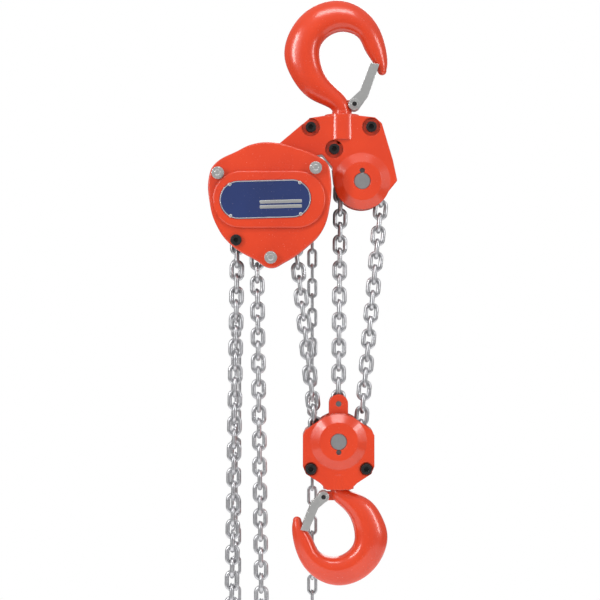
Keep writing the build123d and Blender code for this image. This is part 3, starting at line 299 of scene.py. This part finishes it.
def settle(made):
    """Puts a piece's place into its mesh, and leaves its object at the origin."""
    only(made)
    bpy.ops.object.transform_apply(location=True, rotation=True, scale=True)
    bpy.ops.object.shade_smooth_by_angle(angle=radians(35))


def finish_and_mount(made, finish, body):
    """Gives a piece its finish, and lets it ride on a body."""
    made.data.materials.append(finishes[finish])
    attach(made, body)


def rounded_plane(name, centre, tilt, width, height, corner, segments):
    """An upright plane with round corners that faces the front, left in edit mode."""
    bpy.ops.object.select_all(action="DESELECT")
    bpy.ops.mesh.primitive_plane_add(size=1, location=centre, rotation=(pi / 2, tilt, 0))
    made = bpy.context.object
    made.name = name
    made.scale = (width, height, 1)
    only(made)
    bpy.ops.object.transform_apply(location=False, rotation=False, scale=True)
    bpy.ops.object.mode_set(mode="EDIT")
    bpy.ops.mesh.select_all(action="SELECT")
    bpy.ops.mesh.bevel(offset=corner, segments=segments, affect="VERTICES")
    return made


nearly_half = 0.497
print("modelling tools ready")

# %% The shield
def cover_outline():
    """The shield's outline as shares of the cover's width and height, clockwise from the top."""
    return [(0.513, 1.0), (0.716, 0.958), (0.871, 0.901), (0.974, 0.832), (1.0, 0.75),
            (0.997, 0.5), (0.933, 0.297), (0.809, 0.168), (0.624, 0.045), (0.505, 0.0),
            (0.387, 0.06), (0.17, 0.193), (0.057, 0.347), (0.005, 0.515), (0.0, 0.735),
            (0.041, 0.822), (0.237, 0.933), (0.356, 0.985)]


def shell_from_outline(name, points, front, back, wall, rim):
    """A cup with a smooth outline, open at the back, with its place in its mesh."""
    bpy.ops.object.select_all(action="DESELECT")
    bpy.ops.curve.primitive_bezier_circle_add(radius=1, location=(0, 0, 0))
    made = bpy.context.object
    made.name = name
    made.data.dimensions = "3D"
    spline = made.data.splines[0]
    spline.bezier_points.add(len(points) - len(spline.bezier_points))
    for knot, (x, z) in zip(spline.bezier_points, points):
        knot.co = (x, front, z)
        knot.handle_left_type = knot.handle_right_type = "AUTO"
    spline.resolution_u = 10
    only(made)
    bpy.ops.object.convert(target="MESH")
    bpy.ops.object.mode_set(mode="EDIT")
    bpy.ops.mesh.select_all(action="SELECT")
    bpy.ops.mesh.edge_face_add()
    bpy.ops.mesh.extrude_region_move(TRANSFORM_OT_translate={"value": (0, back - front, 0)})
    bpy.ops.mesh.delete(type="ONLY_FACE")
    bpy.ops.mesh.select_all(action="SELECT")
    bpy.ops.mesh.normals_make_consistent(inside=False)
    bpy.ops.object.mode_set(mode="OBJECT")
    rounded = made.modifiers.new("rounded rim", "BEVEL")
    rounded.width, rounded.segments, rounded.angle_limit = rim, 5, radians(60)
    walled = made.modifiers.new("wall", "SOLIDIFY")
    walled.thickness, walled.offset = wall, -1
    bpy.ops.object.modifier_apply(modifier=rounded.name)
    bpy.ops.object.modifier_apply(modifier=walled.name)
    settle(made)
    return made


cover_low, cover_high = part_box("gear_cover")
pad_rise = 5 * millimetre
shield_front = cover_low.y + pad_rise
across, upward_by = cover_high.x - cover_low.x, cover_high.z - cover_low.z
shield = shell_from_outline(
    "gear_cover_shield",
    [(cover_low.x + x * across, cover_low.z + z * upward_by) for x, z in cover_outline()],
    shield_front, cover_high.y, 3.2 * millimetre, 3 * millimetre)
finish_and_mount(shield, "orange_paint", "frame")
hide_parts("gear_cover")
print("shield from", [round(v, 4) for v in shield.bound_box[0]],
      "to", [round(v, 4) for v in shield.bound_box[6]])

# %% The oval pad
pad_width, pad_height = 181 * millimetre, 92 * millimetre
pad_depth = 1.3 * pad_rise
pad_x = cover_low.x + 0.495 * across
pad_z = cover_low.z + 0.545 * upward_by
pad = rounded_plane("gear_cover_pad", (pad_x, cover_low.y, pad_z), 0,
                    pad_width, pad_height, pad_height * nearly_half, 18)
bpy.ops.mesh.select_all(action="SELECT")
bpy.ops.mesh.extrude_region_move(TRANSFORM_OT_translate={"value": (0, pad_depth, 0)})
bpy.ops.mesh.select_all(action="SELECT")
bpy.ops.mesh.normals_make_consistent(inside=False)
bpy.ops.object.mode_set(mode="OBJECT")
soft_edge = pad.modifiers.new("soft edge", "BEVEL")
soft_edge.width, soft_edge.segments, soft_edge.angle_limit = 4.6 * millimetre, 6, radians(60)
bpy.ops.object.modifier_apply(modifier=soft_edge.name)
settle(pad)
finish_and_mount(pad, "orange_paint", "frame")
print("pad:", len(pad.data.polygons), "faces")

# %% [markdown]
# ## The falls of chain
#
# The block climbs as the load sheave takes chain in, so the falls between it and the hanger get
# shorter. Links can't be taken away at a pose. Each fall is replaced by a copy with its split
# corners joined, which rides on the frame. The share of its length it would keep at the top of
# the lift is worked out and printed, but the copy itself is not closed up.

# %% The three falls
def merged_copy(name, source):
    """A copy of a frame piece with its split corners joined and its place in its mesh."""
    made = source.copy()
    made.data = source.data.copy()
    made.name = name
    bpy.context.scene.collection.objects.link(made)
    made.parent = None
    made.matrix_world = source.matrix_world
    only(made)
    bpy.ops.object.mode_set(mode="EDIT")
    bpy.ops.mesh.select_all(action="SELECT")
    bpy.ops.mesh.remove_doubles(threshold=0.001 * millimetre)
    bpy.ops.object.mode_set(mode="OBJECT")
    settle(made)
    return made


lift = next(joint for joint in frame["joints"] if joint["name"] == "block_lift")
for fall in lift["deforming_nodes"]:
    fall_low, fall_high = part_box(fall["node"])
    upper_end = fall["fixed_end_z_m"]
    keep = 1 - lift["range_m"][1] / (upper_end - fall_low.z)
    chain = merged_copy(fall["node"] + "_shortening", nodes[fall["node"]])
    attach(chain, "frame")
    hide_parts(fall["node"])
    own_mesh(chain)
    print(chain.name, "keeps", round(keep, 3), "of its length at the top of the lift")

# %% [markdown]
# ## Eyes and rivets of the latches
#
# A latch is pressed from sheet with a round eye at its hinge, and a dark rivet is set through it.
# Each is turned from a short cylinder whose outer face is inset and stepped. The eye lies on the
# latch's cheek and turns with it. The rivet caps the pin's end, and stays with the hook.

# %% Turn the eyes and rivets
def turned_button(name, centre, side, radius, thick, step, finish, body):
    """A round button whose outer face has a step. Side is -1 for the front, 1 for the back."""
    bpy.ops.object.select_all(action="DESELECT")
    bpy.ops.mesh.primitive_cylinder_add(
        vertices=40, radius=radius, depth=thick, location=centre, rotation=(pi / 2, 0, 0))
    made = bpy.context.object
    made.name = name
    only(made)
    bpy.ops.object.transform_apply(location=True, rotation=True, scale=True)
    bpy.ops.object.mode_set(mode="EDIT")
    bpy.ops.mesh.select_mode(type="FACE")
    bpy.ops.mesh.select_all(action="DESELECT")
    bpy.ops.object.mode_set(mode="OBJECT")
    for face in made.data.polygons:
        face.select = face.normal.y * side > 0.9
    bpy.ops.object.mode_set(mode="EDIT")
    bpy.ops.mesh.inset(thickness=radius * 0.3, depth=step)
    bpy.ops.object.mode_set(mode="OBJECT")
    soft = made.modifiers.new("soft edge", "BEVEL")
    soft.width, soft.segments, soft.angle_limit = thick * 0.25, 3, radians(40)
    bpy.ops.object.modifier_apply(modifier=soft.name)
    settle(made)
    finish_and_mount(made, finish, body)


hinges = {joint["name"]: Vector(joint["pos_m"]) for joint in frame["joints"] if "pos_m" in joint}
eye_radius, eye_thick = 8.4 * millimetre, 1.4 * millimetre
rivet_radius, rivet_thick = 3.8 * millimetre, 1.2 * millimetre
step = 0.3 * millimetre
for end in ("top", "bottom"):
    hinge = hinges[f"{end}_latch_hinge"]
    cheek, pin_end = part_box(f"{end}_latch")[1].y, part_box(f"{end}_latch_pin")[1].y
    for side, where in ((-1, "front"), (1, "back")):
        turned_button(f"{end}_latch_eye_{where}", (hinge.x, side * cheek, hinge.z), side,
                      eye_radius, eye_thick, -step, "zinc_steel", f"{end}_latch")
        turned_button(f"{end}_latch_rivet_{where}", (hinge.x, side * pin_end, hinge.z), side,
                      rivet_radius, rivet_thick, step, "black_bolt", f"{end}_hook")
    print(end, "latch: hinge at", [round(v, 4) for v in hinge],
          "cheek", round(cheek, 4), "pin end", round(pin_end, 4))

# %% [markdown]
# ## Trim on the nameplate
#
# A nameplate has a bright rolled border and pale fields for what the owner fills in. Both are
# left blank. Each is cut from a plane: its corners are bevelled, and it is then thickened.

# %% Tools for flat trim
def rounded_field(name, centre, width, height, corner, tilt, finish, thick, rim=0.0):
    """A flat rounded field that faces the front, or a frame of that shape if it has a rim."""
    made = rounded_plane(name, centre, tilt, width, height, corner, 10)
    if rim:
        bpy.ops.mesh.select_all(action="SELECT")
        bpy.ops.mesh.inset(thickness=rim, depth=0)
        bpy.ops.mesh.delete(type="FACE")
    bpy.ops.object.mode_set(mode="OBJECT")
    thicken = made.modifiers.new("thickness", "SOLIDIFY")
    thicken.thickness, thicken.offset = thick, 0
    soften = made.modifiers.new("soft edge", "BEVEL")
    soften.width, soften.segments = thick * 0.3, 2
    only(made)
    bpy.ops.object.modifier_apply(modifier=thicken.name)
    bpy.ops.object.modifier_apply(modifier=soften.name)
    settle(made)
    finish_and_mount(made, finish, "frame")
    return made


print("trim tools ready")

# %% The border and the blank fields
plate_tilt = radians(-1.5)
lean = sin(abs(plate_tilt))
plate_low, plate_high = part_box("nameplate")
plate_centre = (plate_low + plate_high) / 2
plate_front = plate_low.y
box_width, box_height = plate_high.x - plate_low.x, plate_high.z - plate_low.z
plate_width = box_width
plate_height = (box_height - box_width * lean) / (1 - lean)
trim_thick, edge_left = 0.6 * millimetre, 1.2 * millimetre

border = rounded_field(
    "nameplate_border", (plate_centre.x, plate_front, plate_centre.z),
    plate_width - edge_left, plate_height - edge_left, (plate_height - edge_left) * nearly_half,
    plate_tilt, "zinc_steel", trim_thick, rim=1.3 * millimetre)
for row, share in enumerate((-0.06, -0.19)):
    rounded_field(
        f"nameplate_field_{row + 1}",
        (plate_centre.x + 0.17 * plate_width, plate_front, plate_centre.z + share * plate_height),
        0.46 * plate_width, 0.085 * plate_height, 0.02 * plate_height, plate_tilt,
        "zinc_steel", trim_thick)
print("plate:", round(plate_width, 4), "by", round(plate_height, 4), "with", border.name)

# %% [markdown]
# ## The studio
#
# The hoist hangs in the air, so the floor lies well below the ends of its chains. Long narrow
# lamps at the sides and above give the paint long slim highlights, and a square one lights it
# from behind. The camera stands far back with a long lens, a little above the hoist's middle.

# %% Floor and light
def lamp(name, place, aim, width, height, power):
    light = bpy.data.lights.new(name, "AREA")
    light.shape, light.size, light.size_y, light.energy = "RECTANGLE", width, height, power
    made = bpy.data.objects.new(name, light)
    bpy.context.scene.collection.objects.link(made)
    made.location = place
    made.rotation_euler = (Vector(aim) - Vector(place)).to_track_quat("-Z", "Y").to_euler()


middle = (cad_low + cad_high) / 2
floor_gap, floor_size = 0.35, 3.4
bpy.ops.object.select_all(action="DESELECT")
bpy.ops.mesh.primitive_plane_add(
    size=floor_size, location=(middle.x, middle.y, cad_low.z - floor_gap))
floor = bpy.context.object
floor.name = "studio_floor"
pale = Finish("pale_floor")
floor.data.materials.append(pale.surface(
    Base_Color=pale.blend(pale.cloud(3), (0.88, 0.88, 0.88, 1), (0.92, 0.92, 0.92, 1)), Roughness=0.8,
    Emission_Color=(1, 1, 1, 1), Emission_Strength=0.3))

aim = tuple(middle)
lamp("left_softbox", (-2.3, -1.9, 0.5), aim, 0.45, 2.0, 49)
lamp("right_softbox", (2.3, -1.6, 0.1), aim, 0.35, 1.8, 27)
lamp("top_softbox", (0.0, -1.3, 1.7), aim, 1.6, 0.35, 20)
lamp("back_softbox", (0.3, 2.4, 0.6), aim, 1.4, 1.4, 20)
print("floor", round(floor_gap, 2), "below the chains, and four lamps")

# %% [markdown]
# ## The room's own light
#
# Plated metal looks like metal only when it has something dark to mirror. The room is therefore
# dim and a little brighter overhead, while its wall shows white behind the hoist. The Standard
# view keeps the paint's strong colour, which the default view would pale.

# %% A dim room with a white wall
world = bpy.data.worlds.new("studio")
world.use_nodes = True
room = world.node_tree
room.nodes.clear()


def room_node(kind, **sockets):
    made = room.nodes.new("ShaderNode" + kind)
    for name, value in sockets.items():
        made.inputs[name].default_value = value
    return made


dim_light, white_wall = room_node("Background"), room_node("Background", Strength=1.0)
white_wall.inputs["Color"].default_value = (1, 1, 1, 1)
heading, upward = room_node("TexCoord"), room_node("SeparateXYZ")
brightness = room_node("MapRange")
brightness.inputs["From Min"].default_value = -1
brightness.inputs["To Min"].default_value = 0.16
brightness.inputs["To Max"].default_value = 0.82
seen, either, room_out = room_node("LightPath"), room_node("MixShader"), room_node("OutputWorld")
room.links.new(heading.outputs["Generated"], upward.inputs["Vector"])
room.links.new(upward.outputs["Z"], brightness.inputs["Value"])
room.links.new(brightness.outputs["Result"], dim_light.inputs["Strength"])
room.links.new(seen.outputs["Is Camera Ray"], either.inputs[0])
room.links.new(dim_light.outputs["Background"], either.inputs[1])
room.links.new(white_wall.outputs["Background"], either.inputs[2])
room.links.new(either.outputs["Shader"], room_out.inputs["Surface"])
bpy.context.scene.world = world
bpy.context.scene.view_settings.view_transform = "Standard"
print("room lit")

# %% Camera
view_width, view_distance = 0.98, 2.8
eye_over_middle = 0.0724
camera_data = bpy.data.cameras.new("camera")
camera_data.lens = camera_data.sensor_width * view_distance / view_width
camera = bpy.data.objects.new("camera", camera_data)
bpy.context.scene.collection.objects.link(camera)
camera.location = (-0.0686, -view_distance, middle.z + eye_over_middle)
camera.rotation_euler = (pi / 2, 0, 0)
bpy.context.scene.camera = camera
print("camera height", round(camera.location.z, 4), "middle", round(middle.z, 4))

# %% Finish
print("scene ready")
